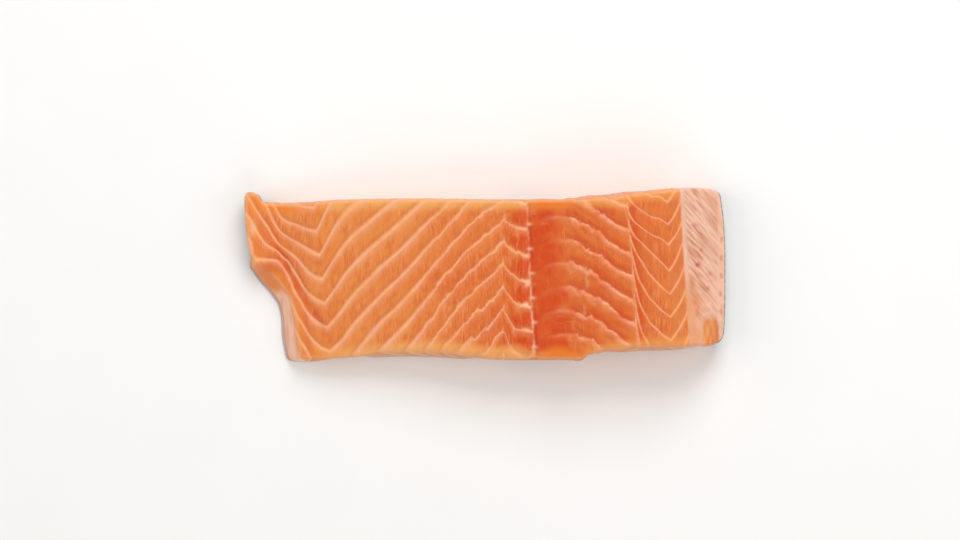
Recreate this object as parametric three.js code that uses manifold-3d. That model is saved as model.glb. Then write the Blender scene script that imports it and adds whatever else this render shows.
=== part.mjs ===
// A raw salmon portion, cut straight across one side of the fish and lying on its skin.
// Millimetres, +Z up, origin at the middle of the flat underside.
// X runs across the fish, from the thin belly flap at -X to the thick back at +X.
// Y runs along the fish. The muscle is stacked in flakes along Y.
import * as THREE from "three";
import { mergeVertices } from "three/addons/utils/BufferGeometryUtils.js";
import Module from "manifold-3d";

const { smoothstep, lerp } = THREE.MathUtils;

// ---- Driving dimensions ----
const BELLY_FOLD = -69.2; // where the flake lines turn back, across the fish at y = 0
const FLANK_FOLD = 8.3;
const MIDLINE = 19.4; // the tendon between the belly half and the back half
const SCRAPED = 37.5; // from here to the seam the flesh was scraped off the spine
const SEAM = 62.8; // the tendon that bounds the scraped flesh
const BACK_FOLD = 78.6;
const BEVEL = 85.3; // past this the back edge is bevelled down to the skin
const BEVEL_SLOPE = 0.95;
const BEVEL_FOOT = 12.5; // height of the skin edge along the back
const BACK_TUCK = 5; // the skin rounds under along the back by this much
const LIP_RADIUS = 1.5; // the soft rounding of every cut edge
const WALL_BULGE = 0.5; // the cut walls swell outwards by this much at half height
const FLAP_LIFT = 5.5; // how far the belly flap's corner curls up off the board
const CUT_DEPTH = 1.2; // the underside starts this far below z = 0 and is cut flat there
const PILLOW = 0.35; // how far each flake swells between its lines
const SHINGLE = 0.8; // how far the scraped flakes overlap like shingles
const MIDLINE_GROOVE = 1.1;
const NOMINAL = [204, 66, 20]; // X, Y and Z size, for turning the lip radius into shares

// Mesh segments along X, Y and Z, and how many of them go to the rounding at each end.
const SEGMENTS = [96, 34, 6];
const LIP_SEGMENTS = 2;

// ---- Curves ----

// A smooth function through [position, value] knots.
function through(knots) {
  const spline = new THREE.CubicInterpolant(
    knots.map((k) => k[0]),
    knots.map((k) => k[1]),
    1,
  );
  return (t) => spline.evaluate(t)[0];
}

// An edge of the portion seen from above, as a curve through [x, y] points.
function edge(points) {
  const curve = new THREE.SplineCurve(points.map(([x, y]) => new THREE.Vector2(x, y)));
  curve.arcLengthDivisions = 400;
  return (t) => curve.getPointAt(THREE.MathUtils.clamp(t, 0, 1));
}

const RIM = {
  // The knife cut at -Y, from the belly to the back, with a tag of flesh left beside the midline.
  front: edge([
    [-78.4, -34.2], [-75.5, -34.9], [-70.7, -35.1], [-63.5, -34.7], [-52.8, -33.7], [-42.2, -32.1],
    [-23, -32.1], [-8.1, -33.2], [2.6, -34.8], [19.6, -35.2], [32, -35.2], [41, -35.2], [45.8, -32.4],
    [62.2, -30.2], [83.5, -29.6], [94.6, -29.4], [99.4, -28.6],
  ]),
  // The knife cut at +Y, which starts with the upturned corner of the flap.
  back: edge([
    [-101.8, 34.9], [-99, 35.1], [-96.8, 34.3], [-95.8, 32.6], [-94.3, 31.2], [-90, 30.8],
    [-78.4, 30.7], [-59.2, 32], [-27.3, 32.4], [6.8, 32], [26, 32.2], [49.4, 32.6],
    [58.8, 33.7], [66.5, 35.2], [75.8, 36.3], [87.8, 37.1], [95.4, 36.9], [100.6, 35.6],
  ]),
  // The belly edge, with the bay where the flap was trimmed on a slant.
  left: edge([
    [-78.4, -34.2], [-79.4, -26.2], [-80.9, -15.9], [-83.2, -8.1], [-86.9, -3], [-91, 1.4],
    [-96.2, 4.4], [-99.2, 9], [-100.5, 14.5], [-101.4, 21.7], [-101.9, 29.4], [-101.8, 34.9],
  ]),
  // The back of the fish.
  right: edge([
    [99.4, -28.6], [102.2, -25.2], [102.9, -14.5], [103, -1.7], [103, 11.1], [102.5, 21.7],
    [101.5, 30.7], [100.6, 35.6],
  ]),
};

// Height of the meat over its underside, across the fish.
const thickness = through([
  [-104, 4.6], [-94, 5.4], [-82, 8], [-68, 11.2], [-45, 15.2], [-12, 19.3], [19, 22.2],
  [38, 25.4], [58, 27.4], [76, 27.5], [88, 26.2],
]);

// Height along Y of flake line 0 across the fish, and how far apart the lines are.
const lineBelly = through([
  [BELLY_FOLD, -52.4], [-63, -49.9], [-57, -44], [-46.5, -32.5], [-34, -20.9], [-22, -6.9],
  [-14, 2.9], [-5, 12.7], [1, 17.6], [FLANK_FOLD, 23.7],
]);
const lineFlank = through([[FLANK_FOLD, 23.7], [13, 21.6], [MIDLINE, 19.6]]);
const lineSpine = through([
  [MIDLINE, 18.1], [26, 23.7], [36, 24.8], [47, 20.4], [58.5, 11.4], [SEAM, 9.6],
]);
const pitchBelly = through([
  [BELLY_FOLD, 10.2], [-63, 11.4], [-57, 11.7], [-46.5, 11.2], [-34, 11], [-22, 10.4],
  [-14, 9.8], [-5, 9.9], [1, 10], [FLANK_FOLD, 9.6], [13, 10.9], [MIDLINE - 0.1, 10.9], [MIDLINE, 10],
]);
const pitchBack = through([
  [SEAM, 10], [SEAM + 0.1, 11.3], [69.5, 10.8], [72.5, 10.4], [75.5, 10.3], [BACK_FOLD, 9.8], [82, 9.6],
]);

// Rise of a flake line outwards from a fold: at the tip, on the curled and on the hanging part
// of the flap, and towards the seam at -Y and at +Y. Past the back fold the lines rise once more.
const FLAP_LOW = -52.4; // height of line 0 at the belly fold
const LOIN_LOW = -27.1; // and at the back fold
const flapTip = through([
  [0, 0], [4.9, 0.6], [8.6, 2.3], [12.7, 4], [15.2, 6.5], [16.7, 10], [19, 16.5], [20.6, 21],
  [23.5, 26.3], [26.7, 32.9], [33, 46],
]);
const curledFlap = through([
  [0, 0], [4.7, 2.9], [9, 6.5], [11.6, 9], [14, 12.5], [17.3, 16.5], [20.6, 22], [22.9, 25.2],
  [24.7, 27.6], [27, 31.5], [33, 44],
]);
const hangingFlap = through([
  [0, 0], [4, 1.8], [8, 6], [11, 12], [12.5, 15], [14, 20], [16, 24.5], [18, 27.5], [20, 28.6],
  [22, 28.8], [33, 29],
]);
const steepArm = through([
  [0, 0], [3.4, 2], [6.7, 5.2], [9, 7.4], [11, 10.9], [13, 14.9], [14, 18.9], [14.7, 23.4], [15.8, 33.6],
]);
const flatArm = through([[0, 0], [4.5, -1], [8.5, -1.2], [11.2, 0.2], [14, 3.2], [15, 6], [15.8, 12]]);
const backArm = through([[0, 0], [3, 4.6], [5.5, 9.2], [8, 14.6], [30, 64.6]]);

// How far the folds drift towards the back for each millimetre towards -Y.
const foldLean = through([
  [-102, 0.11], [BELLY_FOLD, 0.11], [FLANK_FOLD, 0], [MIDLINE, 0.05], [SEAM, 0.07],
  [BACK_FOLD, 0.03], [BEVEL, 0.064], [102, 0.07],
]);

// Place across the fish, straightened so that each fold is at one value.
const across = (x, y) => x + foldLean(x) * y;

function flakeLine(s, y) {
  if (s < BELLY_FOLD) {
    const out = BELLY_FOLD - s;
    const curl = lerp(curledFlap(out), flapTip(out), smoothstep(y, 8, 26));
    const curlsFrom = lerp(2, 6.5, smoothstep(out, 15, 19));
    return FLAP_LOW + lerp(hangingFlap(out), curl, smoothstep(y, curlsFrom, curlsFrom / 2.25 + 12));
  }
  if (s < FLANK_FOLD) return lineBelly(s);
  if (s < MIDLINE) return lineFlank(s);
  if (s < SEAM) return lineSpine(s);
  if (s > BACK_FOLD) return LOIN_LOW + backArm(s - BACK_FOLD);
  return LOIN_LOW + lerp(steepArm(BACK_FOLD - s), flatArm(BACK_FOLD - s), smoothstep(y, 2, 34));
}

// 0 at a flake line, rising to 1 at the next one towards +Y.
function flakePhase(s, y) {
  const pitch = s < MIDLINE ? pitchBelly(s) : pitchBack(s);
  const flakes = (y - flakeLine(s, y)) / pitch;
  return flakes - Math.floor(flakes);
}

// 1 inside [from, to], falling to 0 over soft on each side.
function plateau(t, from, to, soft) {
  return smoothstep(t, from - soft, from) - smoothstep(t, to, to + soft);
}

// ---- Surfaces ----

// Low relief of the upper face: flakes that swell between their lines, shingled where
// the flesh was scraped off the spine.
function relief(s, y) {
  const phase = flakePhase(s, y);
  const scraped = plateau(s, SCRAPED, SEAM - 0.5, 3);
  const pillow = PILLOW * (1 - Math.abs(2 * phase - 1) ** 3);
  const shingle = SHINGLE * phase * smoothstep(1 - phase, 0, 0.2);
  const groove = MIDLINE_GROOVE * plateau(s, MIDLINE - 0.3, MIDLINE + 0.3, 2.2);
  return lerp(pillow, shingle, scraped) - groove;
}

// The flap's corner is curled up, most at the very tip.
function lift(x, y) {
  return FLAP_LIFT * smoothstep(-x, 84, 103) * smoothstep(y, -12, 6);
}

function topHeight(x, y) {
  const s = across(x, y);
  if (s < BEVEL) return lift(x, y) + thickness(s) + relief(s, y);
  const brow = thickness(BEVEL) + relief(BEVEL, y) * (1 - smoothstep(s, BEVEL, BEVEL + 3));
  return Math.max(brow - BEVEL_SLOPE * (s - BEVEL), BEVEL_FOOT);
}

// How far the foot of each cut wall stands out from its rim.
const footOut = {
  front: (x) =>
    0.2 + 1.2 * plateau(x, -84, -68, 6) + 2.2 * plateau(x, -44, -10, 9) + 1.8 * plateau(x, 60, 84, 8),
  back: (x) => 0.2 + 1.7 * plateau(x, 46, 60, 9),
  left: through([
    [-34, 7.1], [-26, 7.7], [-17, 7], [-12, 7.2], [-8, 8.7], [-3, 9.6], [1, 8.1], [5, 3.6],
    [9, 0.4], [14, -0.2],
  ]),
};
// The back is round where the skin wraps it: a quarter ellipse down to the board.
const backTuck = (out) => BACK_TUCK * (1 - Math.sqrt(1 - out * out));

// The point at (u, v) between the four rims, each rim's bends dying away from it.
function insideRim(u, v) {
  const bends = new THREE.Vector2();
  for (const [rim, along, off] of [
    [RIM.front, u, v], [RIM.back, u, 1 - v], [RIM.left, v, u], [RIM.right, v, 1 - u],
  ]) {
    const chord = rim(0).lerp(rim(1), along);
    bends.add(rim(along).sub(chord).multiplyScalar((1 - off) ** 3));
  }
  const near = RIM.front(0).lerp(RIM.front(1), u);
  const far = RIM.back(0).lerp(RIM.back(1), u);
  return near.lerp(far, v).add(bends).toArray();
}

// Rounds a unit box's edges: moves a point near them onto the lip's arc.
function roundLip(point) {
  const inset = point.map((t, i) => Math.min(t, 1 - t) * NOMINAL[i]);
  const short = inset.map((d) => Math.max(LIP_RADIUS - d, 0));
  const reach = Math.hypot(...short);
  if (reach === 0) return point;
  return point.map((t, i) => {
    const d = short[i] > 0 ? LIP_RADIUS - short[i] * Math.min(LIP_RADIUS / reach, 1) : inset[i];
    return t < 0.5 ? d / NOMINAL[i] : 1 - d / NOMINAL[i];
  });
}

// Evenly spaced grid shares, with LIP_SEGMENTS packed into the lip at each end.
function share(t, segments, size) {
  const lip = LIP_RADIUS / size;
  const step = Math.round(t * segments);
  const fromEnd = Math.min(step, segments - step);
  if (fromEnd <= LIP_SEGMENTS) {
    const inLip = (lip * fromEnd) / LIP_SEGMENTS;
    return step === fromEnd ? inLip : 1 - inLip;
  }
  return lerp(lip, 1 - lip, (step - LIP_SEGMENTS) / (segments - 2 * LIP_SEGMENTS));
}

// Where a point of the unit box goes on the portion.
function shape(box) {
  const [u, v, w] = roundLip(box.map((t, i) => share(t, SEGMENTS[i], NOMINAL[i])));
  let [x, y] = insideRim(u, v);
  const top = topHeight(x, y);
  const bottom = lift(x, y) - CUT_DEPTH;
  const out = 1 - w;
  const bulge = WALL_BULGE * Math.sin(Math.PI * w);
  const reach = (t) => smoothstep(Math.abs(2 * t - 1), 0.5, 1); // only near the walls
  y += (v < 0.5 ? -(footOut.front(x) * out + bulge) : footOut.back(x) * out + bulge) * reach(v);
  x += (u < 0.5 ? -(footOut.left(y) * out + bulge) : bulge - backTuck(out)) * reach(u);
  return [x, y, lerp(bottom, top, w)];
}

// ---- The solid ----

const block = new THREE.BoxGeometry(1, 1, 1, ...SEGMENTS);
block.deleteAttribute("normal");
block.deleteAttribute("uv");
const slab = mergeVertices(block);
const position = slab.getAttribute("position");
for (let i = 0; i < position.count; i++) {
  const corner = [position.getX(i) + 0.5, position.getY(i) + 0.5, position.getZ(i) + 0.5];
  position.setXYZ(i, ...shape(corner));
}

const wasm = await Module();
wasm.setup();

function toSolid(geometry) {
  return new wasm.Manifold(
    new wasm.Mesh({
      numProp: 3,
      vertProperties: new Float32Array(geometry.getAttribute("position").array),
      triVerts: new Uint32Array(geometry.index.array),
    }),
  );
}

function toGeometry(solid) {
  const mesh = solid.getMesh();
  return new THREE.BufferGeometry()
    .setAttribute("position", new THREE.BufferAttribute(mesh.vertProperties, 3))
    .setIndex(new THREE.BufferAttribute(mesh.triVerts, 1));
}

// The board presses the underside flat at z = 0.
const board = new THREE.BoxGeometry(300, 150, 20).translate(0, 0, -10);
board.deleteAttribute("normal");
board.deleteAttribute("uv");
const flesh = toGeometry(toSolid(slab).subtract(toSolid(mergeVertices(board))));

// Centre the footprint on the origin.
flesh.computeBoundingBox();
const middle = flesh.boundingBox.getCenter(new THREE.Vector3());
flesh.translate(-middle.x, -middle.y, 0);
flesh.computeVertexNormals();

const fillet = new THREE.Mesh(
  flesh,
  new THREE.MeshStandardMaterial({ color: 0xe6905a, roughness: 0.35, metalness: 0 }),
);
fillet.name = "fillet";

const portion = new THREE.Group();
portion.add(fillet);
export default portion;
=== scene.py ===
"""A raw salmon fillet portion, cut straight across one side of the fish and lying on its skin.

The flesh and the skin are two closed meshes in the place of the CAD solid "fillet". Both are
worked out in millimetres and then moved to the solid's place: X runs across the fish from the
thin belly flap (-X) to the thick back (+X), Y along the fish, Z up out of the skin. The muscle
is stacked in flakes along Y, and thin sheets of fat part one flake from the next.
"""

from itertools import product
from math import radians

import bpy
import numpy as np
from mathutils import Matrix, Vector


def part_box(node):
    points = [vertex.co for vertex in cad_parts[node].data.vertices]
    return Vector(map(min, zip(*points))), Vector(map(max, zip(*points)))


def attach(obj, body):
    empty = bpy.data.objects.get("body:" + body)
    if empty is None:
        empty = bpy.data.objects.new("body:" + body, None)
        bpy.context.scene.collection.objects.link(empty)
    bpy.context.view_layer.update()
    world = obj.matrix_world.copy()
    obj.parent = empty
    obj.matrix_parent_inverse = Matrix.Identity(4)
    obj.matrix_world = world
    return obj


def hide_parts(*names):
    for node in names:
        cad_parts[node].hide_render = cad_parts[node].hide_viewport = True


MM = 0.001
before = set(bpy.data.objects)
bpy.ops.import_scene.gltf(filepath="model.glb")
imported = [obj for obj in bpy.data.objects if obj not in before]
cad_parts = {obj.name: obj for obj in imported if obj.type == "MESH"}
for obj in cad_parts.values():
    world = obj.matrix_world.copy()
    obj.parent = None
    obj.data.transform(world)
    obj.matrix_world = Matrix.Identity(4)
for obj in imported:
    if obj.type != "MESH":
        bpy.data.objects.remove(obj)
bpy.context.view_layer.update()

# ---- The portion's own sizes, in millimetres ----

BELLY_FOLD = -69.2  # where the flakes turn back, across the fish
FLANK_FOLD = 8.3
MIDLINE = 19.4  # the white tendon between the belly half and the back half
SCRAPED = 37.5  # from here to the seam the flesh was scraped off the spine
SEAM = 62.8
BACK_FOLD = 78.6
BEVEL = 85.3  # past this the back is trimmed down to the fat under the skin
BEVEL_SLOPE = 0.95
BEVEL_FOOT = 12.5  # height of the skin's edge along the back
BACK_TUCK = 5.0  # the skin rounds under along the back by this much
LIP_RADIUS = 1.5  # the soft rounding of every cut edge
WALL_BULGE = 0.5
FLAP_LIFT = 5.5  # how far the belly flap's corner curls up
CUT_DEPTH = 1.2  # the plain shape goes this far below the board before it is pressed flat
SKIN_THICK = 1.0
INTO_SKIN = 0.2  # the flesh reaches this far into the skin
SKIN_TOP = 0.955  # the skin wraps the back up to this share of the height of its edge
NOMINAL = np.array([204.0, 66.0, 20.0])  # X, Y and Z size, for turning distances into shares

SPINE_PITCH = 10.0  # from one flake line to the next over the spine
KNOT_PITCH, KNOT_START = 10.45, 22.0  # the knots of fat along the midline
SPLIT = 42.1  # a split along the inner edge of the scraped flesh
FLAP_CREASE, CREASE_LEAN = -81.3, 0.46  # where the flap is creased, leaning along the fish
FLAP_DAB = (-98.9, 20.3)  # a dab of cream-coloured fat on the flap
WHOLE_FLAKE, FLAKE_HALF = (96.6, -25.6), (3.3, 7.6)  # one flake left whole on the trimmed back
SKIN_MARKS, MARK_PITCH = 101.3, 7.7  # dark marks in a row along the skin's edge
# Spots of blood on the trimmed back: middle, half size across and along, strength.
BLOOD_SPOTS = (
    (89.5, 21.7, 1.9, 1.1, 0.5), (92.4, 11.1, 1.1, 0.9, 0.5), (90.9, 4.9, 1.1, 1.0, 1.0),
    (96.6, 0.9, 1.3, 0.9, 0.5), (95.4, -5.2, 1.2, 1.0, 0.5), (88.6, -4, 0.8, 1.9, 0.45),
    (89.6, -11.2, 1.0, 1.4, 0.35), (90.9, -15.6, 0.9, 1.9, 0.6),
)

BOX_GRID = (96, 34, 8)  # steps across, along and up in which the plain shape is measured
# The flesh's grid across, along and down, about half a millimetre a step on the cut face.
ACROSS, ALONG, DOWN = 420, 144, 30
COARSE = 6  # the hidden underside of the flesh has one vertex for this many above


# ---- Curves and fields ----


def smoothstep(t, start, end):
    t = np.clip((t - start) / (end - start), 0, 1)
    return t * t * (3 - 2 * t)


def lerp(a, b, t):
    return a + (b - a) * t


def plateau(t, start, end, soft):
    """1 inside [start, end], falling to 0 over soft on each side."""
    return smoothstep(t, start - soft, start) - smoothstep(t, end, end + soft)


def hump(t, width):
    """1 at 0, falling away over the width on each side."""
    return np.exp(-((t / width) ** 2))


def blob(x, y, centre, size):
    """1 at the centre, falling away over the size across and along."""
    return hump(x - centre[0], size[0]) * hump(y - centre[1], size[1])


def cubic(t, start, leaving, end, arriving):
    """The curve from start to end that leaves and arrives at these rates."""
    return (
        (2 * t**3 - 3 * t**2 + 1) * start
        + (t**3 - 2 * t**2 + t) * leaving
        + (3 * t**2 - 2 * t**3) * end
        + (t**3 - t**2) * arriving
    )


def through(knots):
    """A smooth function through [position, value] knots, level past both ends."""
    place, value = np.array(knots, float).T
    secant = np.diff(value) / np.diff(place)
    slope = np.concatenate([secant[:1], (secant[:-1] + secant[1:]) / 2, secant[-1:]])

    def at(x):
        x = np.clip(x, place[0], place[-1])
        i = np.clip(np.searchsorted(place, x, "right") - 1, 0, len(secant) - 1)
        step = place[i + 1] - place[i]
        t = (x - place[i]) / step
        return cubic(t, value[i], step * slope[i], value[i + 1], step * slope[i + 1])

    return at


def edge(points):
    """The smooth curve through [x, y] points, as a function of the share of its length."""
    points = np.array(points, float)
    before = np.concatenate([points[:1], points[:-2]])
    start, end = points[:-1], points[1:]
    after = np.concatenate([points[2:], points[-1:]])
    t = np.linspace(0, 1, 60, endpoint=False)[None, :, None]
    ends = (start, (end - before) / 2, end, (after - start) / 2)
    path = cubic(t, *(part[:, None] for part in ends)).reshape(-1, 2)
    path = np.concatenate([path, points[-1:]])
    run = np.concatenate([[0], np.cumsum(np.linalg.norm(np.diff(path, axis=0), axis=1))])
    run /= run[-1]
    return lambda share: np.stack([np.interp(share, run, path[:, k]) for k in (0, 1)], -1)


LATTICE = np.random.default_rng(11).uniform(-1, 1, (32, 32, 32))


def noise(place, size, layer=0):
    """A smooth random field from -1 to 1 at each place (n, 3), with bumps of about size.

    Each layer number gives a field of its own.
    """
    cell = place / np.asarray(size, float) + 7.3 * layer
    low = np.floor(cell).astype(int)
    t = cell - low
    t = t * t * (3 - 2 * t)
    total = np.zeros(len(place))
    for corner in product((0, 1), repeat=3):
        i = (low + corner) % len(LATTICE)
        weight = np.prod(np.where(corner, t, 1 - t), axis=1)
        total += weight * LATTICE[i[:, 0], i[:, 1], i[:, 2]]
    return total


def rough(place, size, layer=0):
    """Noise at a size, at half of it and at a quarter of it."""
    return sum(noise(place, np.asarray(size) / 2**k, layer + k) / 2**k for k in range(3)) / 1.75


# ---- The outline and the thickness ----

FRONT_RIM = edge([
    [-78.4, -34.2], [-75.5, -34.9], [-70.7, -35.1], [-63.5, -34.7], [-52.8, -33.7], [-42.2, -32.1],
    [-23, -32.1], [-8.1, -33.2], [2.6, -34.8], [19.6, -35.2], [32, -35.2], [41, -35.2], [45.8, -32.4],
    [62.2, -30.2], [83.5, -29.6], [94.6, -29.4], [99.4, -28.6],
])
BACK_RIM = edge([
    [-101.8, 34.9], [-99, 35.1], [-96.8, 34.3], [-95.8, 32.6], [-94.3, 31.2], [-90, 30.8],
    [-78.4, 30.7], [-59.2, 32], [-27.3, 32.4], [6.8, 32], [26, 32.2], [49.4, 32.6],
    [58.8, 33.7], [66.5, 35.2], [75.8, 36.3], [87.8, 37.1], [95.4, 36.9], [100.6, 35.6],
])
LEFT_RIM = edge([
    [-78.4, -34.2], [-79.4, -26.2], [-80.9, -15.9], [-83.2, -8.1], [-86.9, -3], [-91, 1.4],
    [-96.2, 4.4], [-99.2, 9], [-100.5, 14.5], [-101.4, 21.7], [-101.9, 29.4], [-101.8, 34.9],
])
RIGHT_RIM = edge([
    [99.4, -28.6], [102.2, -25.2], [102.9, -14.5], [103, -1.7], [103, 11.1], [102.5, 21.7],
    [101.5, 30.7], [100.6, 35.6],
])

thickness = through([
    [-104, 4.6], [-94, 5.4], [-82, 8], [-68, 11.2], [-45, 15.2], [-12, 19.3], [19, 22.2],
    [38, 25.4], [58, 27.4], [76, 27.5], [88, 26.2],
])
fold_lean = through([
    [-102, 0.11], [BELLY_FOLD, 0.11], [FLANK_FOLD, 0], [MIDLINE, 0.05], [SEAM, 0.07],
    [BACK_FOLD, 0.03], [BEVEL, 0.064], [102, 0.07],
])
# How far the belly's trimmed edge slants out below its rim, along the fish.
trim_slant = through([
    [-34, 7.1], [-26, 7.7], [-17, 7], [-12, 7.2], [-8, 8.7], [-3, 9.6], [1, 8.1], [5, 3.6],
    [9, 0.4], [14, -0.2],
])


def across_fish(x, y):
    """Place across the fish, straightened so that each fold is at one value."""
    return x + fold_lean(x) * y


def inside_rim(u, v):
    """The point at (u, v) between the four rims, each rim's bends dying away from it."""
    a, b = u[:, None], v[:, None]
    bends = 0
    for rim, along, off in (
        (FRONT_RIM, a, b), (BACK_RIM, a, 1 - b), (LEFT_RIM, b, a), (RIGHT_RIM, b, 1 - a),
    ):
        bends = bends + (1 - off) ** 3 * (rim(along[:, 0]) - lerp(rim(0), rim(1), along))
    near, far = lerp(FRONT_RIM(0), FRONT_RIM(1), a), lerp(BACK_RIM(0), BACK_RIM(1), a)
    return (lerp(near, far, b) + bends).T


def lift(x, y):
    """How far the underside has curled up, towards the flap's far corner."""
    return FLAP_LIFT * smoothstep(-x, 84, 103) * smoothstep(y, -12, 6)


def plain_top(x, y):
    """Height of the upper face before its relief."""
    s = across_fish(x, y)
    brow = thickness(BEVEL) - BEVEL_SLOPE * (s - BEVEL)
    return np.where(s < BEVEL, lift(x, y) + thickness(s), np.maximum(brow, BEVEL_FOOT))


def onto_wall(u, v, x, y, out):
    """Moves a point off its rim onto the cut wall below, out being 0 at the rim, 1 at the foot."""
    # The knife leaned a little in places, so the foot of a wall stands out by up to 2.4 mm.
    front = 0.2 + 1.2 * plateau(x, -84, -68, 6) + 2.2 * plateau(x, -44, -10, 9)
    front = front + 1.8 * plateau(x, 60, 84, 8)
    back = 0.2 + 1.7 * plateau(x, 46, 60, 9)
    bulge = WALL_BULGE * np.sin(np.pi * (1 - out))
    near_x, near_y = (smoothstep(np.abs(2 * t - 1), 0.5, 1) for t in (u, v))
    y = y + np.where(v < 0.5, -(front * out + bulge), back * out + bulge) * near_y
    tuck = BACK_TUCK * (1 - np.sqrt(np.clip(1 - out * out, 0, 1)))
    x = x + np.where(u < 0.5, -(trim_slant(y) * out + bulge), bulge - tuck) * near_x
    return x, y


def soft_lip(u, v, w):
    """Moves places near an edge of the unit box onto the lip's arc."""
    inset = np.stack([np.minimum(u, 1 - u), np.minimum(v, 1 - v), 1 - w], -1) * NOMINAL
    short = np.maximum(LIP_RADIUS - inset, 0)
    reach = np.maximum(np.linalg.norm(short, axis=1, keepdims=True), LIP_RADIUS)
    inset = np.where(short > 0, LIP_RADIUS - short * LIP_RADIUS / reach, inset) / NOMINAL
    u = np.where(u < 0.5, inset[:, 0], 1 - inset[:, 0])
    v = np.where(v < 0.5, inset[:, 1], 1 - inset[:, 1])
    return u, v, 1 - inset[:, 2]


def body(u, v, w):
    """Where (u, v, w) of a unit box lies on the portion, w being 0 at the foot and 1 on top.

    Also how deep that is below the upper face, and how far above the underside.
    """
    u, v, w = soft_lip(u, v, w)
    x, y = inside_rim(u, v)
    top, low = plain_top(x, y), lift(x, y) - CUT_DEPTH
    z = lerp(low, top, w)
    return np.stack([*onto_wall(u, v, x, y, 1 - w), z], -1), top - z, z - np.maximum(low, 0)


def share_at(u, v, height):
    """The w at which the portion is height above its underside."""
    u, v, _ = soft_lip(u, v, np.full_like(u, 0.5))
    x, y = inside_rim(u, v)
    top, low = plain_top(x, y), lift(x, y) - CUT_DEPTH
    return (np.maximum(low, 0) + height - low) / (top - low)


# ---- The flakes ----

# Height along Y of flake line 0, and how far apart the lines are, across the fish.
line_belly = through([
    [BELLY_FOLD, -52.4], [-63, -49.9], [-57, -44], [-46.5, -32.5], [-34, -20.9], [-22, -6.9],
    [-14, 2.9], [-5, 12.7], [1, 17.6], [FLANK_FOLD, 23.7],
])
line_flank = through([[FLANK_FOLD, 23.7], [13, 21.6], [MIDLINE, 19.6]])
line_spine = through([
    [MIDLINE, 18.1], [26, 23.7], [36, 24.8], [47, 20.4], [58.5, 11.4], [SEAM, 9.6],
])
pitch_belly = through([
    [BELLY_FOLD, 10.2], [-63, 11.4], [-57, 11.7], [-46.5, 11.2], [-34, 11], [-22, 10.4],
    [-14, 9.8], [-5, 9.9], [1, 10], [FLANK_FOLD, 9.6], [13, 10.9], [MIDLINE, 10.9],
])
pitch_back = through([
    [SEAM, 11.3], [69.5, 10.8], [72.5, 10.4], [75.5, 10.3], [BACK_FOLD, 9.8], [82, 9.6],
])

# Rise of a flake line outwards from a fold: at the tip, on the curled and on the hanging part
# of the flap, and towards the seam at -Y and at +Y.
FLAP_LOW, LOIN_LOW = -52.4, -27.1
flap_tip = through([
    [0, 0], [4.9, 0.6], [8.6, 2.3], [12.7, 4], [15.2, 6.5], [16.7, 10], [19, 16.5], [20.6, 21],
    [23.5, 26.3], [26.7, 32.9], [33, 46],
])
curled_flap = through([
    [0, 0], [4.7, 2.9], [9, 6.5], [11.6, 9], [14, 12.5], [17.3, 16.5], [20.6, 22], [22.9, 25.2],
    [24.7, 27.6], [27, 31.5], [33, 44],
])
hanging_flap = through([
    [0, 0], [4, 1.8], [8, 6], [11, 12], [12.5, 15], [14, 20], [16, 24.5], [18, 27.5], [20, 28.6],
    [22, 28.8], [33, 29],
])
steep_arm = through([
    [0, 0], [3.4, 2], [6.7, 5.2], [9, 7.4], [11, 10.9], [13, 14.9], [14, 18.9], [14.7, 23.4],
    [15.8, 33.6],
])
flat_arm = through([[0, 0], [4.5, -1], [8.5, -1.2], [11.2, 0.2], [14, 3.2], [15, 6], [15.8, 12]])
back_arm = through([[0, 0], [3, 4.6], [5.5, 9.2], [8, 14.6], [30, 64.6]])

# How red the muscle is across the fish: 0 is the belly's pale orange, 1 the deepest red.
redness = through([
    [-102, 0.1], [-75, 0.2], [-60, 0.16], [-45, 0.17], [-20, 0.32], [0, 0.52], [14, 0.5],
    [MIDLINE, 0.54], [SEAM, 0.62], [66, 0.56], [74, 0.42], [BEVEL, 0.25],
])


def flake_stack(s, y):
    """Height of flake line 0 and the flake pitch at s, and how fast the line climbs there."""

    def line(s):
        out = BELLY_FOLD - s
        curl = lerp(curled_flap(out), flap_tip(out), smoothstep(y, 8, 26))
        curls_from = lerp(2, 6.5, smoothstep(out, 15, 19))
        flap = lerp(hanging_flap(out), curl, smoothstep(y, curls_from, curls_from / 2.25 + 12))
        loin = lerp(steep_arm(BACK_FOLD - s), flat_arm(BACK_FOLD - s), smoothstep(y, 2, 34))
        trim = back_arm(s - BACK_FOLD)
        inside = [FLAP_LOW + flap, line_belly(s), line_flank(s), line_spine(s), LOIN_LOW + loin]
        return np.select(zones, inside, LOIN_LOW + trim)

    zones = [s < BELLY_FOLD, s < FLANK_FOLD, s < MIDLINE, s < SEAM, s < BACK_FOLD]
    pitch = np.select([s < MIDLINE, s < SEAM], [pitch_belly(s), SPINE_PITCH], pitch_back(s))
    step = 0.2
    return line(s), pitch, (line(s + step) - line(s - step)) / (2 * step)


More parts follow.
